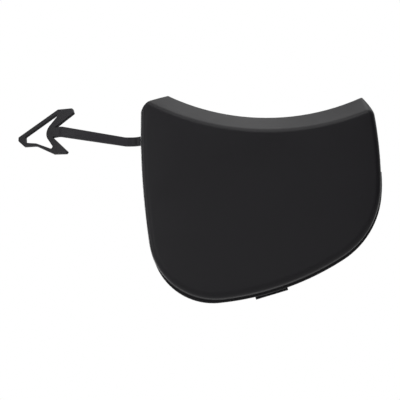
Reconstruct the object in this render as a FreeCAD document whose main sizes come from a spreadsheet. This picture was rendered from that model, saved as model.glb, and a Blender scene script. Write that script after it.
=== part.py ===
import FreeCAD
import Part
import math
import os
import Sketcher
from FreeCAD import Placement, Rotation, Vector

# Towing-eye cover for a car bumper, with its tether and arrow anchor.
# Millimetres. X to the right seen from the front, Y back into the car, Z up.
# The rim of the housing rests on the bumper ledge in the plane Y = 0.

doc = FreeCAD.newDocument("tow_hook_cover")
sheet = doc.addObject("Spreadsheet::Sheet", "sizes")

driving = {
    # walls and face
    "wall": 2.5,
    "face_depth": 10.6,
    "crown_radius": 1200,
    "edge_radius": 3.0,
    "corner_radius": 3.2,
    # outline of the housing, seen from the front
    "left_radius": 329,
    "left_height": 31.2,
    "heel_radius": 27.7,
    "heel_x": -18.9,
    "heel_z": -14.9,
    "bottom_radius": 116.7,
    "toe_radius": 35.1,
    "toe_x": 15.0,
    "toe_z": 4.9,
    "right_radius": 57.2,
    "right_height": 7.6,
    "shoulder_radius": 175,
    "block_top": 52,
    # hollowed shelf along the top
    "shelf_x": 3.0,
    "shelf_overrun": 6,
    "shelf_front": 14,
    "shelf_front_low": 25.2,
    "shelf_front_radius": 134,
    "shelf_rear": 2,
    "shelf_rear_low": 36.9,
    "shelf_rear_radius": 93,
    "shelf_drop": 3.1,
    # slanted ends of the shelf
    "left_end_x": -49.9,
    "left_end_z": 32.4,
    "left_peak_x": -40.2,
    "left_peak_z": 43.4,
    "left_run_x": -9.4,
    "left_run_z": -5.2,
    "left_end_wall": 3.8,
    "right_end_x": 48.8,
    "right_end_z": 32,
    "right_peak_x": 43.7,
    "right_peak_z": 44.2,
    "right_run_x": 4.5,
    "right_run_z": -8.2,
    "right_end_wall": 2.9,
    "end_run": 9.5,
    # lip around the lower rim
    "lip_width": 1.0,
    "lip_depth": 1.5,
    "lip_heel_tighter": 2.0,
    "lip_heel_left": 0.9,
    "lip_heel_down": 3.0,
    "lip_left_z": -17.5,
    "lip_right_z": 11.8,
    # locating foot at the bottom
    "foot_turn": 16.8,
    "foot_width": 14,
    "foot_thickness": 1.8,
    "foot_bite": 1.2,
    "ledge": 3.0,
    "foot_toe": 1.5,
    "foot_reach": 1.4,
    # snap hooks behind the shelf
    "hook_span": 48,
    "hook_width": 10,
    "hook_thickness": 1.8,
    "hook_low": 32.2,
    "hook_root": 3.6,
    "hook_length": 12.5,
    "hook_catch": 7.2,
    "hook_barb": 2.0,
    "gusset_width": 1.4,
    "gusset_low": 21,
    "gusset_shoulder": 28.5,
    "gusset_front": 8.9,
    "gusset_rear": 3.5,
    # snap hooks on the two sides
    "side_width": 8,
    "side_thickness": 1.8,
    "side_inset": 0.6,
    "side_length": 10.5,
    "side_catch": 5.6,
    "side_barb": 1.8,
    "side_right_z": 12,
    "side_left_z": -3,
    # tether
    "tether_in": 1.65,
    "tether_z": 26.75,
    "tether_root": 2.0,
    "tether_straight": 2.2,
    "tether_bend": 6.5,
    "tether_lead": 2.0,
    "tether_thickness": 1.4,
    "tether_width": 3.8,
    "neck_x": -84.35,
    "neck_z": 31.2,
    "neck_width": 4.5,
    "neck_rise": 4.3,
    "neck_twist": 14.6,
    "neck_bend": 30,
    "neck_radius": 3.5,
    # arrow anchor, in its own plane, from the bend of the neck
    "arrow_tip_x": 20.5,
    "arrow_tip_y": 0.85,
    "upper_shoulder_x": 1.2,
    "upper_shoulder_y": 10.9,
    "upper_barb_x": -6.3,
    "upper_barb_y": 10.1,
    "upper_barb_end_x": -7.3,
    "upper_barb_end_y": 7.7,
    "upper_notch": 1.7,
    "lower_notch": 2.2,
    "lower_root_x": -0.6,
    "lower_root_y": -4.9,
    "lower_barb_end_x": -6.6,
    "lower_barb_end_y": -10.6,
    "lower_barb_x": -5.9,
    "lower_barb_y": -11.45,
    "lower_shoulder_x": 0.7,
    "lower_shoulder_y": -10.45,
    "lower_arm_x": 10.6,
    "lower_arm_y": -4.85,
    "elbow_x": 16.9,
    "elbow_y": -4.1,
    "arrow_tip_low_x": 20.3,
    "arrow_tip_low_y": -1.0,
    "window_tip_x": 16.9,
    "window_tip_y": 0.5,
    "upper_slit_x": 1.6,
    "upper_slit_y": 8.6,
    "upper_slit_end_x": 0.7,
    "upper_slit_end_y": 8.0,
    "window_bar_x": 7.2,
    "window_bar_y": 0.6,
    "lower_slit_end_x": 1.5,
    "lower_slit_end_y": -7.0,
    "lower_slit_x": 2.1,
    "lower_slit_y": -7.9,
    "window_arm_x": 10.4,
    "window_arm_y": -3.85,
    "window_elbow_x": 16.2,
    "window_elbow_y": -2.5,
    "arrow_curve": 5.0,
    "arrow_corner": 0.5,
}

derived = {
    "left_radius_in": "=left_radius - wall",
    "heel_radius_in": "=heel_radius - wall",
    "bottom_radius_in": "=bottom_radius - wall",
    "toe_radius_in": "=toe_radius - wall",
    "right_radius_in": "=right_radius - wall",
    "shoulder_radius_in": "=shoulder_radius - wall",
    "crown_radius_in": "=crown_radius - wall",
    "shelf_front_radius_in": "=shelf_front_radius + shelf_drop",
    "shelf_rear_radius_in": "=shelf_rear_radius + shelf_drop",
    "shelf_front_centre": "=shelf_front_low + shelf_front_radius",
    "shelf_rear_centre": "=shelf_rear_low + shelf_rear_radius",
    "left_side": "=heel_x - left_radius"
                 " + sqrt((left_radius - heel_radius)^2 - (left_height - heel_z)^2)",
    "right_side": "=toe_x + right_radius"
                  " - sqrt((right_radius - toe_radius)^2 - (right_height - toe_z)^2)",
    "shelf_left": "=left_side - shelf_overrun",
    "shelf_right": "=right_side + shelf_overrun",
    "shelf_top": "=block_top + 30",
    "block_depth": "=face_depth + 2",
    "hollow_depth": "=block_depth + 1",
    "left_end_x_in": "=left_end_x + left_end_wall",
    "left_peak_x_in": "=left_peak_x + left_end_wall",
    "right_end_x_in": "=right_end_x - right_end_wall",
    "right_peak_x_in": "=right_peak_x - right_end_wall",
    "lip_heel_radius": "=heel_radius - lip_heel_tighter",
    "lip_heel_x": "=heel_x - lip_heel_left",
    "lip_heel_z": "=heel_z - lip_heel_down",
    "lip_bottom_radius": "=bottom_radius + lip_width",
    "lip_toe_radius": "=toe_radius + lip_width",
    "lip_right_radius": "=right_radius + lip_width",
    "lip_heel_radius_in": "=heel_radius - 0.7 * wall",
    "lip_bottom_radius_in": "=bottom_radius - 0.7 * wall",
    "lip_toe_radius_in": "=toe_radius - 0.7 * wall",
    "lip_right_radius_in": "=right_radius - 0.7 * wall",
    "foot_front": "=-1.8 * wall",
    "foot_rear": "=ledge + foot_toe",
    "foot_inner": "=-(bottom_radius - wall + foot_bite - foot_thickness)",
    "foot_outer": "=-(bottom_radius - wall + foot_bite)",
    "foot_bottom": "=-(bottom_radius + foot_reach)",
    "hook_front": "=-hook_root",
    "hook_high": "=hook_low + hook_thickness",
    "hook_crest": "=hook_high + hook_barb",
    "hook_crest_end": "=hook_catch + 0.8",
    "hook_tip": "=hook_low + 0.7",
    "hook_left_x": "=shelf_x - hook_span / 2",
    "gusset_start": "=-gusset_front",
    "gusset_top": "=hook_low + 0.4",
    "side_front": "=-(face_depth - wall + 0.6)",
    "tether_x": "=left_side + tether_in",
    "tether_front": "=-tether_root",
    "tether_inner_x": "=tether_x + tether_thickness / 2",
    "tether_outer_x": "=tether_x - tether_thickness / 2",
    "tether_centre_x": "=tether_x - tether_bend",
    "tether_end_x": "=tether_x - tether_bend - tether_lead",
    "tether_bend_in": "=tether_bend - tether_thickness / 2",
    "tether_bend_out": "=tether_bend + tether_thickness / 2",
    "tether_y": "=tether_straight + tether_bend",
    "tether_y_in": "=tether_y - tether_thickness / 2",
    "tether_y_out": "=tether_y + tether_thickness / 2",
    "tether_half": "=tether_thickness / 2",
    "neck_half": "=neck_width / 2",
    "neck_low": "=-neck_width / 2",
    "neck_edge": "=tether_thickness / 2 - neck_radius",
}

for row, (name, value) in enumerate(list(driving.items()) + list(derived.items()), start=1):
    sheet.set(f"A{row}", name)
    sheet.set(f"B{row}", str(value))
    sheet.setAlias(f"B{row}", name)
doc.recompute()


def size(name):
    return float(sheet.get(name))


def new_sketch(body, role, name, place=None):
    sketch = body.newObject("Sketcher::SketchObject", name)
    plane = [item for item in body.Origin.OriginFeatures if item.Role == role][0]
    sketch.AttachmentSupport = (plane, "")
    sketch.MapMode = "FlatFace"
    if place:
        sketch.AttachmentOffset = place
    return sketch


def bind(sketch, kind, geometry, name):
    index = sketch.addConstraint(Sketcher.Constraint(kind, *geometry, size(name)))
    sketch.setExpression(f"Constraints[{index}]", f"sizes.{name}")


def pin(sketch, line, end, x_name, y_name):
    # no name means a point on the axis
    if x_name is None:
        sketch.addConstraint(Sketcher.Constraint("PointOnObject", line, end, -2))
    else:
        bind(sketch, "DistanceX", (-1, 1, line, end), x_name)
    if y_name is None:
        sketch.addConstraint(Sketcher.Constraint("PointOnObject", line, end, -1))
    else:
        bind(sketch, "DistanceY", (-1, 1, line, end), y_name)


def polygon(sketch, points):
    places = [Vector(size(x) if x else 0, size(y) if y else 0, 0) for x, y in points]
    first = sketch.GeometryCount
    count = len(places)
    for step in range(count):
        sketch.addGeometry(Part.LineSegment(places[step], places[(step + 1) % count]))
    for step in range(count):
        following = first + (step + 1) % count
        sketch.addConstraint(Sketcher.Constraint("Coincident", first + step, 2, following, 1))
        pin(sketch, first + step, 1, *points[step])


def arc(centre, radius, start, end):
    return Part.ArcOfCircle(Part.Circle(centre, Vector(0, 0, 1), radius), start, end)


def feature(body, kind, name, profile, **settings):
    item = body.newObject("PartDesign::" + kind, name)
    item.Profile = profile
    for key, value in settings.items():
        if isinstance(value, str) and value.startswith("="):
            item.setExpression(key, value[1:])
        else:
            setattr(item, key, value)
    doc.recompute()
    return item


def direction(a, b):
    return math.atan2(b.y - a.y, b.x - a.x) % (2 * math.pi)


def arc_inside(heel, toe, to_heel, to_toe):
    # centre of the bottom arc, at the two given distances from the corner centres
    span = (toe - heel).Length
    along = (to_heel ** 2 - to_toe ** 2 + span ** 2) / (2 * span)
    across = math.sqrt(to_heel ** 2 - along ** 2)
    unit = (toe - heel).normalize()
    return heel + unit * along + Vector(-unit.y, unit.x, 0) * across


def outline_centres():
    # centres of the five tangent arcs; they are the same for every inset of the outline
    heel = Vector(size("heel_x"), size("heel_z"), 0)
    toe = Vector(size("toe_x"), size("toe_z"), 0)
    left_gap = size("left_radius") - size("heel_radius")
    left_rise = size("left_height") - heel.y
    left = Vector(heel.x + math.sqrt(left_gap ** 2 - left_rise ** 2), size("left_height"), 0)
    right_gap = size("right_radius") - size("toe_radius")
    right_rise = size("right_height") - toe.y
    right = Vector(toe.x - math.sqrt(right_gap ** 2 - right_rise ** 2), size("right_height"), 0)
    bottom = arc_inside(heel, toe, size("bottom_radius") - size("heel_radius"),
                        size("bottom_radius") - size("toe_radius"))
    return left, heel, bottom, toe, right


def outline(sketch, inset=""):
    left, heel, bottom, toe, right = outline_centres()
    radius = {part: size(part + "_radius" + inset)
              for part in ("left", "heel", "bottom", "toe", "right", "shoulder")}
    top = size("block_top")
    side_x = left.x - radius["left"]
    shoulder = Vector(right.x + radius["right"] - radius["shoulder"], right.y, 0)
    lean = math.asin((top - right.y) / radius["shoulder"])
    shoulder_x = shoulder.x + radius["shoulder"] * math.cos(lean)
    turns = [math.pi, direction(left, heel), direction(bottom, heel),
             direction(bottom, toe), direction(right, toe), 2 * math.pi]
    sketch.addGeometry(Part.LineSegment(Vector(side_x, top, 0), Vector(side_x, left.y, 0)))
    arcs = (("left", left), ("heel", heel), ("bottom", bottom), ("toe", toe), ("right", right))
    for step, (part, centre) in enumerate(arcs):
        sketch.addGeometry(arc(centre, radius[part], turns[step], turns[step + 1]))
    sketch.addGeometry(arc(shoulder, radius["shoulder"], 0, lean))
    sketch.addGeometry(Part.LineSegment(Vector(shoulder_x, top, 0), Vector(side_x, top, 0)))
    for step in range(6):
        sketch.addConstraint(Sketcher.Constraint("Tangent", step, 2, step + 1, 1))
    sketch.addConstraint(Sketcher.Constraint("Coincident", 6, 2, 7, 1))
    sketch.addConstraint(Sketcher.Constraint("Coincident", 7, 2, 0, 1))
    sketch.addConstraint(Sketcher.Constraint("Vertical", 0))
    sketch.addConstraint(Sketcher.Constraint("Horizontal", 7))
    sketch.addConstraint(Sketcher.Constraint("Horizontal", 5, 3, 5, 2))
    for step, part in enumerate(("left", "heel", "bottom", "toe", "right", "shoulder"), start=1):
        bind(sketch, "Radius", (step,), part + "_radius" + inset)
    pin(sketch, 2, 3, "heel_x", "heel_z")
    pin(sketch, 4, 3, "toe_x", "toe_z")
    bind(sketch, "DistanceY", (-1, 1, 1, 3), "left_height")
    bind(sketch, "DistanceY", (-1, 1, 5, 3), "right_height")
    bind(sketch, "DistanceY", (-1, 1, 7, 1), "block_top")


def shelf_section(body, end, inset):
    # section through the space above the shelf: an arc closed off well above the cover
    sign = 1 if end == "front" else -1
    sketch = new_sketch(body, "XZ_Plane", f"shelf_{end}{inset}",
                        Placement(Vector(0, 0, sign * size("shelf_" + end)), Rotation()))
    sketch.setExpression("AttachmentOffset.Base.z", f"{sign} * sizes.shelf_{end}")
    radius = size(f"shelf_{end}_radius{inset}")
    centre = Vector(size("shelf_x"), size(f"shelf_{end}_centre"), 0)
    start, finish = (1.5 * math.pi + math.asin((size(side) - centre.x) / radius)
                     for side in ("shelf_left", "shelf_right"))
    floor = arc(centre, radius, start, finish)
    top = size("shelf_top")
    left, right = floor.StartPoint, floor.EndPoint
    sketch.addGeometry(floor)
    sketch.addGeometry(Part.LineSegment(right, Vector(right.x, top, 0)))
    sketch.addGeometry(Part.LineSegment(Vector(right.x, top, 0), Vector(left.x, top, 0)))
    sketch.addGeometry(Part.LineSegment(Vector(left.x, top, 0), left))
    for step in range(4):
        sketch.addConstraint(Sketcher.Constraint("Coincident", step, 2, (step + 1) % 4, 1))
    sketch.addConstraint(Sketcher.Constraint("Vertical", 1))
    sketch.addConstraint(Sketcher.Constraint("Horizontal", 2))
    sketch.addConstraint(Sketcher.Constraint("Vertical", 3))
    bind(sketch, "Radius", (0,), f"shelf_{end}_radius{inset}")
    pin(sketch, 0, 3, "shelf_x", f"shelf_{end}_centre")
    bind(sketch, "DistanceX", (-1, 1, 0, 1), "shelf_left")
    bind(sketch, "DistanceX", (-1, 1, 0, 2), "shelf_right")
    bind(sketch, "DistanceY", (-1, 1, 2, 1), "shelf_top")
    return sketch


def cut_shelf(body, inset=""):
    front = shelf_section(body, "front", inset)
    rear = shelf_section(body, "rear", inset)
    return feature(body, "SubtractiveLoft", "shelf" + inset, front, Sections=[rear], Ruled=True)


def cut_crown(body, inset=""):
    # all that lies in front of a large sphere is turned away, which crowns the face
    centre = size("crown_radius") - size("face_depth")
    sketch = new_sketch(body, "YZ_Plane", "crown_section" + inset,
                        Placement(Vector(centre, 0, 0), Rotation()))
    sketch.setExpression("AttachmentOffset.Base.x", "sizes.crown_radius - sizes.face_depth")
    radius = size("crown_radius" + inset)
    reach = 1.5 * size("block_top")
    half = math.asin(reach / radius)
    front = -size("crown_radius") - 8
    face = arc(Vector(), radius, math.pi - half, math.pi + half)
    top, low = face.StartPoint, face.EndPoint
    sketch.addGeometry(face)
    sketch.addGeometry(Part.LineSegment(low, Vector(front, low.y, 0)))
    sketch.addGeometry(Part.LineSegment(Vector(front, low.y, 0), Vector(front, top.y, 0)))
    sketch.addGeometry(Part.LineSegment(Vector(front, top.y, 0), top))
    for step in range(4):
        sketch.addConstraint(Sketcher.Constraint("Coincident", step, 2, (step + 1) % 4, 1))
    sketch.addConstraint(Sketcher.Constraint("Horizontal", 1))
    sketch.addConstraint(Sketcher.Constraint("Vertical", 2))
    sketch.addConstraint(Sketcher.Constraint("Horizontal", 3))
    sketch.addConstraint(Sketcher.Constraint("Coincident", 0, 3, -1, 1))
    bind(sketch, "Radius", (0,), "crown_radius" + inset)
    sketch.addConstraint(Sketcher.Constraint("Symmetric", 0, 1, 0, 2, -1))
    sketch.addConstraint(Sketcher.Constraint("DistanceY", 0, 2, 0, 1, 2 * reach))
    sketch.addConstraint(Sketcher.Constraint("DistanceX", 2, 1, -1, 1, -front))
    return feature(body, "Groove", "crown" + inset, sketch,
                   ReferenceAxis=(sketch, ["V_Axis"]), Angle=8.0, Midplane=True)


def cut_end(body, side, inset=""):
    # the end of the shelf runs slanting from the front corner to the peak at the rear
    sign = -1 if side == "left" else 1
    sketch = new_sketch(body, "XZ_Plane", f"{side}_end_section{inset}")
    foot = Vector(size(f"{side}_end_x{inset}"), size(f"{side}_end_z"), 0)
    peak = Vector(size(f"{side}_peak_x{inset}"), size(f"{side}_peak_z"), 0)
    beyond = peak + (peak - foot) * 1.5
    outside = foot.x + sign * 30
    corners = [foot, beyond, Vector(outside, beyond.y, 0), Vector(outside, foot.y, 0)]
    for step in range(4):
        sketch.addGeometry(Part.LineSegment(corners[step], corners[(step + 1) % 4]))
    for step in range(4):
        sketch.addConstraint(Sketcher.Constraint("Coincident", step, 2, (step + 1) % 4, 1))
    sketch.addConstraint(Sketcher.Constraint("Horizontal", 1))
    sketch.addConstraint(Sketcher.Constraint("Vertical", 2))
    sketch.addConstraint(Sketcher.Constraint("Horizontal", 3))
    pin(sketch, 0, 1, f"{side}_end_x{inset}", f"{side}_end_z")
    sketch.addConstraint(Sketcher.Constraint("DistanceX", -1, 1, 2, 1, outside))
    sketch.addGeometry(Part.Point(peak), True)
    pin(sketch, 4, 1, f"{side}_peak_x{inset}", f"{side}_peak_z")
    sketch.addConstraint(Sketcher.Constraint("PointOnObject", 4, 1, 0))
    sketch.addConstraint(Sketcher.Constraint("DistanceY", -1, 1, 1, 1, beyond.y))
    run = Vector(size(f"{side}_run_x"), -size("end_run"), size(f"{side}_run_z"))
    return feature(body, "Pocket", f"{side}_end{inset}", sketch, UseCustomVector=True,
                   Direction=run, AlongSketchNormal=False, Length=2 * run.Length)


def edge_names(shape, wanted):
    return [f"Edge{number}" for number, edge in enumerate(shape.Edges, start=1) if wanted(edge)]


def round_edges(body, name, base, edges, radius):
    item = body.newObject("PartDesign::Fillet", name)
    item.Base = (base, edges)
    item.setExpression("Radius", "sizes." + radius)
    doc.recompute()
    return item


# Outer form of the housing
cover = doc.addObject("PartDesign::Body", "tow_hook_cover")
cover.Label = "tow_hook_cover"
front_outline = new_sketch(cover, "XZ_Plane", "outline")
outline(front_outline)
block = feature(cover, "Pad", "block", front_outline, Length="=sizes.block_depth")
shelf = cut_shelf(cover)
half_depth = size("face_depth") / 2
corner_edges = edge_names(
    shelf.Shape,
    lambda edge: abs(edge.CenterOfMass.x) > 40 and edge.CenterOfMass.z > 25
    and edge.BoundBox.YLength > half_depth and edge.BoundBox.ZLength < 3 * half_depth)
corners = round_edges(cover, "shelf_corners", shelf, corner_edges, "corner_radius")
crown = cut_crown(cover)
sphere = [face for face in crown.Shape.Faces if isinstance(face.Surface, Part.Sphere)][0]
face_edges = edge_names(
    crown.Shape, lambda edge: any(edge.isSame(other) for other in sphere.Edges))
rounded = round_edges(cover, "face_edge", crown, face_edges, "edge_radius")
left_end = cut_end(cover, "left")
right_end = cut_end(cover, "right")

# Hollow inside the housing, open towards the car
hollow = doc.addObject("PartDesign::Body", "hollow")
hollow_outline = new_sketch(hollow, "XZ_Plane", "hollow_outline",
                            Placement(Vector(0, 0, -1), Rotation()))
outline(hollow_outline, "_in")
feature(hollow, "Pad", "hollow_block", hollow_outline, Length="=sizes.hollow_depth")
cut_shelf(hollow, "_in")
cut_crown(hollow, "_in")
cut_end(hollow, "left", "_in")
cut_end(hollow, "right", "_in")
emptied = cover.newObject("PartDesign::Boolean", "emptied")
emptied.Type = "Cut"
emptied.addObjects([hollow])
doc.recompute()

# Lip around the lower rim, which covers the gap to the bumper
lip_outline = new_sketch(cover, "XZ_Plane", "lip_outline")
left, heel, bottom, toe, right = outline_centres()
lip_heel = Vector(size("lip_heel_x"), size("lip_heel_z"), 0)
lip_bottom = arc_inside(lip_heel, toe, size("lip_bottom_radius") - size("lip_heel_radius"),
                        size("lip_bottom_radius") - size("lip_toe_radius"))
for inset, heel, bottom in (("", lip_heel, lip_bottom), ("_in", heel, bottom)):
    heel_radius, bottom_radius, toe_radius, right_radius = (
        size(f"lip_{part}_radius{inset}") for part in ("heel", "bottom", "toe", "right"))
    turns = [direction(bottom, heel), direction(bottom, toe), direction(right, toe)]
    start = math.pi - math.asin((size("lip_left_z") - heel.y) / heel_radius)
    end = 2 * math.pi + math.asin((size("lip_right_z") - right.y) / right_radius)
    for curve in (arc(heel, heel_radius, start, turns[0]),
                  arc(bottom, bottom_radius, turns[0], turns[1]),
                  arc(toe, toe_radius, turns[1], turns[2]),
                  arc(right, right_radius, turns[2], end)):
        lip_outline.addGeometry(curve)
for first, inset in ((0, ""), (4, "_in")):
    for step in range(3):
        lip_outline.addConstraint(
            Sketcher.Constraint("Tangent", first + step, 2, first + step + 1, 1))
    for step, part in enumerate(("heel", "bottom", "toe", "right")):
        bind(lip_outline, "Radius", (first + step,), f"lip_{part}_radius{inset}")
    heel_name = "heel" if inset else "lip_heel"
    pin(lip_outline, first, 3, heel_name + "_x", heel_name + "_z")
    pin(lip_outline, first + 2, 3, "toe_x", "toe_z")
    bind(lip_outline, "DistanceY", (-1, 1, first + 3, 3), "right_height")
    bind(lip_outline, "DistanceY", (-1, 1, first, 1), "lip_left_z")
    bind(lip_outline, "DistanceY", (-1, 1, first + 3, 2), "lip_right_z")
curves = lip_outline.Geometry
lip_outline.addGeometry(Part.LineSegment(curves[0].StartPoint, curves[4].StartPoint))
lip_outline.addGeometry(Part.LineSegment(curves[3].EndPoint, curves[7].EndPoint))
for line, outer, inner, end in ((8, 0, 4, 1), (9, 3, 7, 2)):
    lip_outline.addConstraint(Sketcher.Constraint("Coincident", line, 1, outer, end))
    lip_outline.addConstraint(Sketcher.Constraint("Coincident", line, 2, inner, end))
lip = feature(cover, "Pad", "lip", lip_outline, Length="=sizes.lip_depth")


def side_profile(name, role, place, points):
    sketch = new_sketch(cover, role, name + "_profile", place)
    polygon(sketch, points)
    return sketch


# Locating foot that reaches behind the bumper ledge at the bottom
foot_place = Placement(Vector(0, bottom.y, bottom.x),
                       Rotation(Vector(1, 0, 0), -size("foot_turn")))
foot_profile = side_profile("foot", "YZ_Plane", foot_place, [
    ("foot_front", "foot_inner"), ("foot_rear", "foot_inner"), ("foot_rear", "foot_bottom"),
    ("ledge", "foot_bottom"), ("ledge", "foot_outer"), ("foot_front", "foot_outer")])
foot = feature(cover, "Pad", "foot", foot_profile,
               Length="=sizes.foot_width", SideType="Symmetric")

# Two snap hooks behind the shelf, each on a gusset
hook_place = Placement(Vector(0, 0, size("hook_left_x")), Rotation())
hook_profile = side_profile("hook", "YZ_Plane", hook_place, [
    ("hook_front", "hook_low"), ("hook_length", "hook_low"), ("hook_length", "hook_tip"),
    ("hook_crest_end", "hook_crest"), ("hook_catch", "hook_crest"),
    ("hook_catch", "hook_high"), ("hook_front", "hook_high")])
hook_profile.setExpression("AttachmentOffset.Base.z", "sizes.hook_left_x")
hook = feature(cover, "Pad", "hook", hook_profile,
               Length="=sizes.hook_width", SideType="Symmetric")
gusset_profile = side_profile("gusset", "YZ_Plane", hook_place, [
    ("gusset_start", "gusset_low"), ("gusset_rear", "gusset_top"),
    ("hook_front", "gusset_top"), ("gusset_start", "gusset_shoulder")])
gusset_profile.setExpression("AttachmentOffset.Base.z", "sizes.hook_left_x")
gusset = feature(cover, "Pad", "gusset", gusset_profile,
                 Length="=sizes.gusset_width", SideType="Symmetric")
hooks = cover.newObject("PartDesign::LinearPattern", "hooks")
hooks.Originals = [hook, gusset]
hooks.Direction = (gusset_profile, ["N_Axis"])
hooks.setExpression("Length", "sizes.hook_span")
hooks.Occurrences = 2
cover.Tip = hooks
doc.recompute()


def side_hook(side):
    # plate along the side wall, rooted in the back of the face, with its barb outwards
    sign = -1 if side == "left" else 1
    left, heel, bottom, toe, right = outline_centres()
    height = size(f"side_{side}_z")
    if side == "left":
        wall_x = left.x - math.sqrt(size("left_radius_in") ** 2 - (height - left.y) ** 2)
    else:
        wall_x = right.x + math.sqrt(size("right_radius_in") ** 2 - (height - right.y) ** 2)
    outer = wall_x - sign * size("side_inset")
    inner = outer - sign * size("side_thickness")
    barb = outer + sign * size("side_barb")
    catch, tip, root = size("side_catch"), size("side_length"), size("side_front")
    points = [(inner, root), (inner, tip), (outer - sign * 0.9, tip), (barb, catch + 0.8),
              (barb, catch), (outer, catch), (outer, root)]
    sketch = new_sketch(cover, "XY_Plane", side + "_hook_profile",
                        Placement(Vector(0, 0, height), Rotation()))
    sketch.setExpression("AttachmentOffset.Base.z", f"sizes.side_{side}_z")
    count = len(points)
    corners = [Vector(x, y, 0) for x, y in points]
    for step in range(count):
        sketch.addGeometry(Part.LineSegment(corners[step], corners[(step + 1) % count]))
    for step in range(count):
        sketch.addConstraint(Sketcher.Constraint("Coincident", step, 2, (step + 1) % count, 1))
        sketch.addConstraint(Sketcher.Constraint("DistanceX", -1, 1, step, 1, points[step][0]))
    bind(sketch, "DistanceY", (-1, 1, 0, 1), "side_front")
    bind(sketch, "DistanceY", (-1, 1, 1, 1), "side_length")
    bind(sketch, "DistanceY", (-1, 1, 4, 1), "side_catch")
    for line in (1, 4, 6):
        sketch.addConstraint(Sketcher.Constraint("Horizontal", line))
    sketch.addConstraint(Sketcher.Constraint("DistanceY", 4, 1, 3, 1, 0.8))
    return feature(cover, "Pad", side + "_hook", sketch,
                   Length="=sizes.side_width", SideType="Symmetric")


right_hook = side_hook("right")
left_hook = side_hook("left")

# Tether: a bend out of the rim, a straight band that twists, a bend and the arrow anchor
tether_level = Placement(Vector(0, 0, size("tether_z")), Rotation())
root_profile = new_sketch(cover, "XY_Plane", "tether_root_profile", tether_level)
root_profile.setExpression("AttachmentOffset.Base.z", "sizes.tether_z")
bend_centre = Vector(size("tether_centre_x"), size("tether_straight"), 0)
turns = [Vector(size("tether_outer_x"), size("tether_front"), 0),
         Vector(size("tether_inner_x"), size("tether_front"), 0),
         Vector(size("tether_inner_x"), size("tether_straight"), 0),
         Vector(size("tether_centre_x"), size("tether_y_out"), 0),
         Vector(size("tether_end_x"), size("tether_y_out"), 0),
         Vector(size("tether_end_x"), size("tether_y_in"), 0),
         Vector(size("tether_centre_x"), size("tether_y_in"), 0),
         Vector(size("tether_outer_x"), size("tether_straight"), 0)]
for curve in (Part.LineSegment(turns[0], turns[1]),
              Part.LineSegment(turns[1], turns[2]),
              arc(bend_centre, size("tether_bend_out"), 0, math.pi / 2),
              Part.LineSegment(turns[3], turns[4]),
              Part.LineSegment(turns[4], turns[5]),
              Part.LineSegment(turns[5], turns[6]),
              arc(bend_centre, size("tether_bend_in"), 0, math.pi / 2),
              Part.LineSegment(turns[7], turns[0])):
    root_profile.addGeometry(curve)
for constraint in (("Coincident", 0, 2, 1, 1), ("Tangent", 1, 2, 2, 1), ("Tangent", 2, 2, 3, 1),
                   ("Coincident", 3, 2, 4, 1), ("Coincident", 4, 2, 5, 1),
                   ("Tangent", 5, 2, 6, 2), ("Tangent", 6, 1, 7, 1),
                   ("Coincident", 7, 2, 0, 1), ("Horizontal", 0), ("Vertical", 1),
                   ("Horizontal", 3), ("Vertical", 4), ("Horizontal", 5), ("Vertical", 7),
                   ("Coincident", 2, 3, 6, 3)):
    root_profile.addConstraint(Sketcher.Constraint(*constraint))
bind(root_profile, "Radius", (2,), "tether_bend_out")
bind(root_profile, "Radius", (6,), "tether_bend_in")
pin(root_profile, 2, 3, "tether_centre_x", "tether_straight")
bind(root_profile, "DistanceY", (-1, 1, 0, 1), "tether_front")
bind(root_profile, "DistanceX", (-1, 1, 4, 1), "tether_end_x")
feature(cover, "Pad", "tether_root", root_profile,
        Length="=sizes.tether_width", SideType="Symmetric")


def band_section(name, place, width_name, edge_name):
    # section across the band, placed by the side that lies nearest the car
    sketch = new_sketch(cover, "YZ_Plane", name, place)
    half_width = size(width_name) / 2
    edge = size(edge_name)
    front = edge - size("tether_thickness")
    corners = [Vector(front, -half_width, 0), Vector(edge, -half_width, 0),
               Vector(edge, half_width, 0), Vector(front, half_width, 0)]
    for step in range(4):
        sketch.addGeometry(Part.LineSegment(corners[step], corners[(step + 1) % 4]))
    for step in range(4):
        sketch.addConstraint(Sketcher.Constraint("Coincident", step, 2, (step + 1) % 4, 1))
    sketch.addConstraint(Sketcher.Constraint("Horizontal", 0))
    sketch.addConstraint(Sketcher.Constraint("Horizontal", 2))
    sketch.addConstraint(Sketcher.Constraint("Vertical", 3))
    sketch.addConstraint(Sketcher.Constraint("Symmetric", 1, 1, 1, 2, -1))
    bind(sketch, "DistanceX", (0, 1, 0, 2), "tether_thickness")
    bind(sketch, "DistanceY", (1, 1, 1, 2), width_name)
    bind(sketch, "DistanceX", (-1, 1, 1, 1), edge_name)
    return sketch


start_place = Placement(Vector(size("tether_y"), size("tether_z"), size("tether_end_x")),
                        Rotation())
neck_turn = (Rotation(Vector(1, 0, 0), size("neck_rise"))
             * Rotation(Vector(0, 0, 1), -size("neck_twist")))
neck_place = Placement(Vector(size("tether_y"), size("neck_z"), size("neck_x")), neck_turn)
band_start = band_section("band_start", start_place, "tether_width", "tether_half")
band_end = band_section("band_end", neck_place, "neck_width", "tether_half")
feature(cover, "AdditiveLoft", "band", band_start, Sections=[band_end], Ruled=True)
bend_place = neck_place * Placement(Vector(size("neck_radius"), 0, 0), Rotation())
bend_section = band_section("bend_section", bend_place, "neck_width", "neck_edge")
feature(cover, "Revolution", "neck", bend_section, ReferenceAxis=(bend_section, ["V_Axis"]),
        Angle="=sizes.neck_bend", Reversed=True)

# Arrow anchor: flat, with an open window so that its barbs can fold
arrow_place = (bend_place * Placement(Vector(), Rotation(Vector(0, 1, 0), -size("neck_bend")))
               * Placement(Vector(-size("neck_radius"), 0, 0), Rotation(Vector(0, 1, 0), 90)))
arrow_outline = new_sketch(cover, "YZ_Plane", "arrow_outline", arrow_place)


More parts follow.
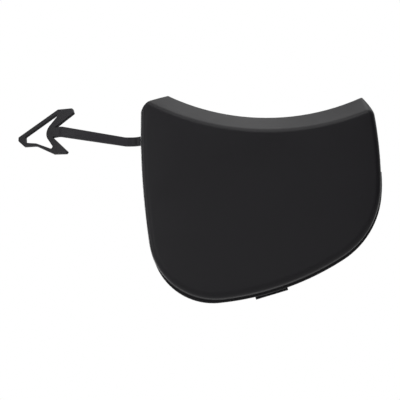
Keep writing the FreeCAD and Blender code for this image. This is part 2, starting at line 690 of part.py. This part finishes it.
def corner(name):
    return name + "_x", name + "_y"


polygon(arrow_outline, [
    corner("arrow_tip"), corner("upper_shoulder"), corner("upper_barb"),
    corner("upper_barb_end"), ("upper_notch", "neck_half"), (None, "neck_half"),
    (None, "neck_low"), ("lower_notch", "neck_low"), corner("lower_root"),
    corner("lower_barb_end"), corner("lower_barb"), corner("lower_shoulder"),
    corner("lower_arm"), corner("elbow"), corner("arrow_tip_low")])
arrow = feature(cover, "Pad", "arrow", arrow_outline,
                Length="=sizes.tether_thickness", SideType="Symmetric")

window_outline = new_sketch(cover, "YZ_Plane", "window_outline", arrow_place)
polygon(window_outline, [
    corner("window_tip"), corner("upper_slit"), corner("upper_slit_end"),
    corner("window_bar"), corner("lower_slit_end"), corner("lower_slit"),
    corner("window_arm"), corner("window_elbow")])
window = feature(cover, "Pocket", "window", window_outline,
                 Length="=2 * sizes.tether_thickness", SideType="Symmetric")


def arrow_edges(shape, names):
    # the edges across the thickness of the arrow at the named corners
    places = [Vector(size(name + "_x"), size(name + "_y"), 0) for name in names]

    def wanted(edge):
        middle = edge.CenterOfMass
        place = arrow_place.inverse().multVec(Vector(middle.y, middle.z, middle.x))
        return (abs(edge.Length - size("tether_thickness")) < 0.01
                and any((place - other).Length < 0.05 for other in places))

    return edge_names(shape, wanted)


curves = round_edges(cover, "arrow_curves", window,
                     arrow_edges(window.Shape, ("window_bar", "lower_arm", "window_arm")),
                     "arrow_curve")
round_edges(cover, "arrow_corners", curves,
            arrow_edges(curves.Shape, (
                "arrow_tip", "arrow_tip_low", "elbow", "upper_shoulder", "upper_barb",
                "upper_barb_end", "lower_root", "lower_barb_end", "lower_barb",
                "lower_shoulder", "window_tip", "window_elbow", "upper_slit",
                "upper_slit_end", "lower_slit", "lower_slit_end")),
            "arrow_corner")

for item in doc.Objects:
    if "Invalid" in item.State or "Error" in item.State:
        raise RuntimeError(item.Name + " could not be built")
if cover.Shape.isNull() or not cover.Shape.isValid() or len(cover.Shape.Solids) != 1:
    raise RuntimeError("the cover is not one sound solid")

os.makedirs("parts", exist_ok=True)
cover.Shape.exportStep("parts/tow_hook_cover.step")
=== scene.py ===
import math

import bmesh
import bpy
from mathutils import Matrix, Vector


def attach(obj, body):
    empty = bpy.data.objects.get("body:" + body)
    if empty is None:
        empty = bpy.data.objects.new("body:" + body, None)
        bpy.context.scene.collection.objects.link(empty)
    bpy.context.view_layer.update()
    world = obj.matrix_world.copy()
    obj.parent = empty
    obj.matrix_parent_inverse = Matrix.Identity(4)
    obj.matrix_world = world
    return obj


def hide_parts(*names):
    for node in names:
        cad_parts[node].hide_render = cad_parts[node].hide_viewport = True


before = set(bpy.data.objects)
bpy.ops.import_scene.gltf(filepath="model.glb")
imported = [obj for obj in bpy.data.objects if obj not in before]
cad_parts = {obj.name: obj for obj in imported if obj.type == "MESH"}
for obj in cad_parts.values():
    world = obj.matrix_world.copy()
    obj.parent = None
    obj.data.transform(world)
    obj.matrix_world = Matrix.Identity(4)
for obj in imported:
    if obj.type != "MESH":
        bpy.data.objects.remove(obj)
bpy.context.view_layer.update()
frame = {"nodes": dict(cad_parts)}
print("frame loaded:", ", ".join(frame["nodes"]))

mm = 0.001


def linear(hexColour):
    # sRGB hex to the linear colour that the sockets take
    channels = [int(hexColour[i:i + 2], 16) / 255 for i in (1, 3, 5)]
    levels = [c / 12.92 if c <= 0.04045 else ((c + 0.055) / 1.055) ** 2.4 for c in channels]
    return (*levels, 1)


def addNode(tree, kind, settings=None, inputs=None):
    # settings are the node's own fields; inputs are numbers or another node's output
    node = tree.nodes.new(kind)
    for field, value in (settings or {}).items():
        setattr(node, field, value)
    for socket, value in (inputs or {}).items():
        if isinstance(value, bpy.types.NodeSocket):
            tree.links.new(value, node.inputs[socket])
        else:
            node.inputs[socket].default_value = value
    return node


def newTree(owner):
    owner.use_nodes = True
    owner.node_tree.nodes.clear()
    return owner.node_tree


def selectOnly(piece):
    bpy.ops.object.select_all(action="DESELECT")
    piece.select_set(True)
    bpy.context.view_layer.objects.active = piece


plastic = {
    "dark": "#1a181d",          # charcoal masterbatch, a touch violet
    "light": "#1f1d23",
    "paintedSheen": "#3b383f",        # painted sheen: the thin band is painted paler, standing in for the light it mirrors
    "sheenFrom": -52.5 * mm,   # x where that begins, where it is strongest and where it ends
    "sheenMost": -57 * mm,
    "sheenTo": -90 * mm,
    "flowSize": 26 * mm,        # clouds left by the flow of the melt
    "flowDetail": 3.0,
    "flowBreakUp": 0.5,
    "flowLow": 0.3,             # noise level that is smooth, and the one that is rough
    "flowHigh": 0.7,
    "smooth": 0.35,             # satin: it mirrors light softly
    "rough": 0.41,
    "grainSize": 0.9 * mm,      # spark-eroded grain is nearer 0.2 mm, drawn coarser so that it shows
    "grainDetail": 2.0,
    "grainBreakUp": 0.6,
    "grainDepth": 0.012 * mm,
    "ior": 1.49,
}


def makePlastic():
    # polypropylene moulded in a spark-eroded tool: nearly black, satin, with a very fine grain
    material = bpy.data.materials.new("mouldedPolypropylene")
    tree = newTree(material)
    place = addNode(tree, "ShaderNodeTexCoord").outputs["Object"]
    flow = addNode(tree, "ShaderNodeTexNoise", {}, {
        "Vector": place, "Scale": 1 / plastic["flowSize"],
        "Detail": plastic["flowDetail"], "Roughness": plastic["flowBreakUp"]})
    grain = addNode(tree, "ShaderNodeTexNoise", {}, {
        "Vector": place, "Scale": 1 / plastic["grainSize"],
        "Detail": plastic["grainDetail"], "Roughness": plastic["grainBreakUp"]})
    colour = addNode(tree, "ShaderNodeMix", {"data_type": "RGBA"}, {
        "Factor": flow.outputs["Fac"], 6: linear(plastic["dark"]), 7: linear(plastic["light"])})
    # painted sheen: a paler grey is mixed into the colour along the tether band, in place of light
    # it catches
    along = addNode(tree, "ShaderNodeSeparateXYZ", {}, {"Vector": place}).outputs["X"]
    rimSide = addNode(tree, "ShaderNodeMapRange", {}, {
        "Value": along, "From Min": plastic["sheenFrom"], "From Max": plastic["sheenMost"]})
    arrowSide = addNode(tree, "ShaderNodeMapRange", {}, {
        "Value": along, "From Min": plastic["sheenTo"], "From Max": plastic["sheenMost"]})
    sheenShare = addNode(tree, "ShaderNodeMath", {"operation": "MULTIPLY"}, {
        0: rimSide.outputs["Result"], 1: arrowSide.outputs["Result"]})
    sheenTinted = addNode(tree, "ShaderNodeMix", {"data_type": "RGBA"}, {
        "Factor": sheenShare.outputs["Value"], 6: colour.outputs[2], 7: linear(plastic["paintedSheen"])})
    gloss = addNode(tree, "ShaderNodeMapRange", {}, {
        "Value": flow.outputs["Fac"],
        "From Min": plastic["flowLow"], "From Max": plastic["flowHigh"],
        "To Min": plastic["smooth"], "To Max": plastic["rough"]})
    bump = addNode(tree, "ShaderNodeBump", {}, {
        "Strength": 1.0, "Distance": plastic["grainDepth"], "Height": grain.outputs["Fac"]})
    shader = addNode(tree, "ShaderNodeBsdfPrincipled", {}, {
        "Base Color": sheenTinted.outputs[2], "Roughness": gloss.outputs["Result"],
        "IOR": plastic["ior"], "Normal": bump.outputs["Normal"]})
    addNode(tree, "ShaderNodeOutputMaterial", {}, {"Surface": shader.outputs["BSDF"]})
    return material


blackPlastic = makePlastic()
print("plastic ready")

moulding = {
    "join": 0.05 * mm,            # loose corners of the tessellation
    "flat": math.radians(0.5),    # faces that meet at less than this become one
    "sharp": math.radians(32),    # outer edges that turn by more than this get the radius
    "edge": 0.12 * mm,            # radius that the tool leaves on an outer edge
    "edgeSteps": 2,
    "smooth": math.radians(46),   # faces that meet at less than this are shaded as one
}


def makeMoulding():
    # the solid's surface in one skin, with the small radius that a tool leaves on each outer edge
    solid = frame["nodes"]["tow_hook_cover"]
    piece = solid.copy()
    piece.data = solid.data.copy()
    piece.name = "coverMoulding"
    for key in list(piece.keys()):   # the copy is a piece of its own and no CAD node
        del piece[key]
    piece.parent = None
    bpy.context.scene.collection.objects.link(piece)
    selectOnly(piece)
    bpy.ops.mesh.customdata_custom_splitnormals_clear()
    bpy.ops.object.mode_set(mode="EDIT")
    bpy.ops.mesh.select_mode(type="EDGE")
    bpy.ops.mesh.select_all(action="SELECT")
    bpy.ops.mesh.remove_doubles(threshold=moulding["join"])
    bpy.ops.mesh.select_all(action="SELECT")
    bpy.ops.mesh.dissolve_limited(angle_limit=moulding["flat"])
    bpy.ops.mesh.select_all(action="DESELECT")
    skin = bmesh.from_edit_mesh(piece.data)
    for edge in skin.edges:
        edge.select = edge.is_convex and edge.calc_face_angle(0) > moulding["sharp"]
    bmesh.update_edit_mesh(piece.data)
    bpy.ops.mesh.bevel(offset=moulding["edge"], segments=moulding["edgeSteps"],
                       clamp_overlap=False, miter_outer="ARC", face_strength_mode="ALL")
    bpy.ops.mesh.select_all(action="SELECT")
    bpy.ops.mesh.quads_convert_to_tris(quad_method="BEAUTY", ngon_method="BEAUTY")
    bpy.ops.object.mode_set(mode="OBJECT")
    return piece


marks = {
    "pins": [(-34, 2), (-6, 6), (22, 2), (-30, -20), (-4, -28), (20, -16)],   # x and z in mm
    "pinRadius": 2.5 * mm,
    "pinDepth": 0.25 * mm,
    "gate": (-5, -10),
    "gateRadius": 1.3 * mm,
    "gateHeight": 0.5 * mm,
    "sides": 48,
    "rim": 0.35,     # width of the rim on a mark's end, as a share of the radius
    "dish": 0.4,     # how far the middle is set back from that rim, as a share of the height
    "isEnd": 0.9,    # a face that looks along the mark by more than this is its end
}


def makeStub(wall, radius, height, outward):
    # a short cylinder half in the wall, with a rim round a set-back middle on its shaped end
    bpy.ops.object.select_all(action="DESELECT")
    bpy.ops.mesh.primitive_cylinder_add(
        vertices=marks["sides"], radius=radius, depth=2 * height, location=wall,
        rotation=(math.radians(90), 0, 0))
    stub = bpy.context.object
    bpy.ops.object.transform_apply(location=True, rotation=True, scale=True)
    bpy.ops.object.mode_set(mode="EDIT")
    bpy.ops.mesh.select_mode(type="FACE")
    bpy.ops.mesh.select_all(action="DESELECT")
    shape = bmesh.from_edit_mesh(stub.data)
    for face in shape.faces:
        face.select = face.normal.y * outward > marks["isEnd"]
    bmesh.update_edit_mesh(stub.data)
    bpy.ops.mesh.inset(thickness=marks["rim"] * radius)
    bpy.ops.transform.translate(value=(0, -outward * marks["dish"] * height, 0))
    bpy.ops.object.mode_set(mode="OBJECT")
    return stub


def markInside(piece):
    # shallow rings left by the ejector pins, and the nub where the gate was snapped off
    spots = [(place, marks["pinRadius"], marks["pinDepth"], "DIFFERENCE") for place in marks["pins"]]
    spots.append((marks["gate"], marks["gateRadius"], marks["gateHeight"], "UNION"))
    for (x, z), radius, height, way in spots:
        found, wall, *_ = piece.ray_cast(Vector((x * mm, 0, z * mm)), Vector((0, -1, 0)))
        if not found:
            continue
        stub = makeStub(wall, radius, height, 1 if way == "UNION" else -1)
        selectOnly(piece)
        cut = piece.modifiers.new("mark", "BOOLEAN")
        cut.object = stub
        cut.operation = way
        cut.solver = "EXACT"
        bpy.ops.object.modifier_apply(modifier=cut.name)
        bpy.data.objects.remove(stub)


def smoothSkin(piece):
    # flats keep their own normal, so they stay flat and the narrow edge radii catch the light
    selectOnly(piece)
    bpy.ops.object.shade_smooth_by_angle(angle=moulding["smooth"])
    even = piece.modifiers.new("even", "WEIGHTED_NORMAL")
    even.mode = "CORNER_ANGLE"
    even.use_face_influence = True
    even.keep_sharp = True
    bpy.ops.object.modifier_apply(modifier=even.name)


cover = makeMoulding()
markInside(cover)
smoothSkin(cover)
cover.data.materials.clear()
cover.data.materials.append(blackPlastic)
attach(cover, "root")
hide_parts("tow_hook_cover")
print("moulding ready:", len(cover.data.polygons), "faces")


def isMirrored(tree, ray):
    # 1 for a ray that left a surface by mirroring or passed through one
    return addNode(tree, "ShaderNodeMath", {"operation": "MAXIMUM"}, {
        0: ray.outputs["Is Glossy Ray"], 1: ray.outputs["Is Transmission Ray"]}).outputs["Value"]


paperSweep = {
    "drop": 160 * mm,
    "size": 6.0,
    "colour": "#c8c8c8",   # what it throws back on the cover
    "seen": "#f4f4f4",     # what the camera sees
    "roughness": 0.9,
    "ior": 1.4,
    "fadeFrom": 0.15,      # it fades into the white room between these two radii, in metres
    "fadeTo": 0.9,
    "fadeNear": 0.35,      # share of white in the middle
    "mirrorFrom": 1.2,     # the same for what the plastic mirrors, so that its underside stays dark
    "mirrorTo": 3.0,
}


def makeFloor():
    # a matt paper sweep: it keeps a soft shadow, and is seen through from below
    bpy.ops.object.select_all(action="DESELECT")
    bpy.ops.mesh.primitive_plane_add(
        size=paperSweep["size"], location=(0, 0, -paperSweep["drop"]))
    floor = bpy.context.object
    floor.name = "floor"
    bpy.ops.object.transform_apply(location=True)
    paper = bpy.data.materials.new("whitePaper")
    tree = newTree(paper)
    ray = addNode(tree, "ShaderNodeLightPath")
    tone = addNode(tree, "ShaderNodeMix", {"data_type": "RGBA"}, {
        "Factor": ray.outputs["Is Camera Ray"],
        6: linear(paperSweep["colour"]), 7: linear(paperSweep["seen"])})
    shader = addNode(tree, "ShaderNodeBsdfPrincipled", {}, {
        "Base Color": tone.outputs[2],
        "Roughness": paperSweep["roughness"], "IOR": paperSweep["ior"]})
    white = addNode(tree, "ShaderNodeEmission", {}, {"Color": (1, 1, 1, 1), "Strength": 1.0})
    place = addNode(tree, "ShaderNodeTexCoord").outputs["Object"]
    apart = addNode(tree, "ShaderNodeVectorMath", {"operation": "LENGTH"}, {0: place})
    fade = addNode(tree, "ShaderNodeMapRange", {"interpolation_type": "SMOOTHSTEP"}, {
        "Value": apart.outputs["Value"],
        "From Min": paperSweep["fadeFrom"], "From Max": paperSweep["fadeTo"],
        "To Min": paperSweep["fadeNear"], "To Max": 1.0})
    far = addNode(tree, "ShaderNodeMapRange", {"interpolation_type": "SMOOTHSTEP"}, {
        "Value": apart.outputs["Value"],
        "From Min": paperSweep["mirrorFrom"], "From Max": paperSweep["mirrorTo"]})
    direct = addNode(tree, "ShaderNodeMath", {"operation": "MULTIPLY"}, {
        0: ray.outputs["Is Camera Ray"], 1: fade.outputs["Result"]})
    mirrored = addNode(tree, "ShaderNodeMath", {"operation": "MULTIPLY"}, {
        0: isMirrored(tree, ray), 1: far.outputs["Result"]})
    share = addNode(tree, "ShaderNodeMath", {"operation": "MAXIMUM"}, {
        0: direct.outputs["Value"], 1: mirrored.outputs["Value"]})
    sweep = addNode(tree, "ShaderNodeMixShader", {}, {
        0: share.outputs["Value"], 1: shader.outputs["BSDF"], 2: white.outputs["Emission"]})
    below = addNode(tree, "ShaderNodeNewGeometry").outputs["Backfacing"]
    clear = addNode(tree, "ShaderNodeBsdfTransparent")
    sheet = addNode(tree, "ShaderNodeMixShader", {}, {
        0: below, 1: sweep.outputs["Shader"], 2: clear.outputs["BSDF"]})
    addNode(tree, "ShaderNodeOutputMaterial", {}, {"Surface": sheet.outputs["Shader"]})
    floor.data.materials.append(paper)


softBoxes = {
    "width": 0.5,
    "aim": (-0.01, 0, 0),
    # name, place in metres, watts
    "boxes": [
        ("highFront", (0, -0.55, 0.70), 0.96),
        ("highLeft", (-0.60, -0.30, 0.60), 0.69),
        ("left", (-0.80, -0.10, 0.15), 0.70),
        ("frontLeft", (-0.45, -0.85, 0.25), 0.36),
        ("lowLeft", (-0.60, -0.80, -0.15), 0.58),
        ("top", (0.06, 0.05, 0.72), 0.62),
        ("lowFront", (0.05, -0.90, -0.05), 0.17),
        ("rear", (-0.45, 0.75, 0.30), 2.5),
    ],
}


def makeSoftBoxes():
    for name, place, watts in softBoxes["boxes"]:
        lamp = bpy.data.lights.new(name, "AREA")
        lamp.size = softBoxes["width"]
        lamp.energy = watts
        holder = bpy.data.objects.new(name, lamp)
        bpy.context.scene.collection.objects.link(holder)
        holder.location = place
        aim = Vector(softBoxes["aim"]) - Vector(place)
        holder.rotation_euler = aim.to_track_quat("-Z", "Y").to_euler()
        holder.visible_camera = False


whiteRoom = {
    # side that the light comes from, and how strong it is there
    "glow": [((0.3, 0.6, 0.7), 0.60), ((0, -1, 0), 0.24)],
    "backdropFrom": 0.55,   # how far towards +Y a mirrored ray looks before it meets white
    "backdropTo": 0.9,
}


def makeRoom():
    # dim at the front, bright above and behind on the right; the camera sees it white
    room = bpy.data.worlds.new("whiteRoom")
    bpy.context.scene.world = room
    tree = newTree(room)
    way = addNode(tree, "ShaderNodeTexCoord").outputs["Generated"]
    light = 0.0
    for side, level in whiteRoom["glow"]:
        facing = addNode(tree, "ShaderNodeVectorMath", {"operation": "DOT_PRODUCT"}, {
            0: way, 1: Vector(side).normalized()})
        lit = addNode(tree, "ShaderNodeMath", {"operation": "MAXIMUM"}, {
            0: facing.outputs["Value"], 1: 0.0})
        soft = addNode(tree, "ShaderNodeMath", {"operation": "MULTIPLY"}, {
            0: lit.outputs["Value"], 1: lit.outputs["Value"]})
        light = addNode(tree, "ShaderNodeMath", {"operation": "MULTIPLY_ADD"}, {
            0: soft.outputs["Value"], 1: level, 2: light}).outputs["Value"]
    parts = addNode(tree, "ShaderNodeSeparateXYZ", {}, {"Vector": way})
    backdrop = addNode(tree, "ShaderNodeMapRange", {"interpolation_type": "SMOOTHSTEP"}, {
        "Value": parts.outputs["Y"],
        "From Min": whiteRoom["backdropFrom"], "From Max": whiteRoom["backdropTo"]})
    ray = addNode(tree, "ShaderNodeLightPath")
    behind = addNode(tree, "ShaderNodeMath", {"operation": "MULTIPLY"}, {
        0: isMirrored(tree, ray), 1: backdrop.outputs["Result"]})
    seen = addNode(tree, "ShaderNodeMath", {"operation": "MAXIMUM"}, {
        0: ray.outputs["Is Camera Ray"], 1: behind.outputs["Value"]})
    strength = addNode(tree, "ShaderNodeMix", {}, {0: seen.outputs["Value"], 2: light, 3: 1.0})
    sky = addNode(tree, "ShaderNodeBackground", {}, {
        "Color": (1, 1, 1, 1), "Strength": strength.outputs[0]})
    addNode(tree, "ShaderNodeOutputWorld", {}, {"Surface": sky.outputs["Background"]})


makeFloor()
makeSoftBoxes()
makeRoom()
bpy.context.scene.view_settings.view_transform = "Standard"
print("studio ready")

camera = {
    "target": (-25.2 * mm, 0, 0),
    "distance": 650 * mm,
    "rise": math.radians(10),   # it looks up at the cover
    "width": 168 * mm,          # seen across the picture at the target
    "sensor": 36.0,
}


def makeCamera():
    data = bpy.data.cameras.new("camera")
    data.sensor_width = camera["sensor"]
    data.lens = camera["sensor"] * camera["distance"] / camera["width"]
    holder = bpy.data.objects.new("camera", data)
    bpy.context.scene.collection.objects.link(holder)
    ahead = Vector((0, math.cos(camera["rise"]), math.sin(camera["rise"])))
    holder.location = Vector(camera["target"]) - ahead * camera["distance"]
    holder.rotation_euler = ahead.to_track_quat("-Z", "Y").to_euler()
    bpy.context.scene.camera = holder


makeCamera()
print("camera ready")
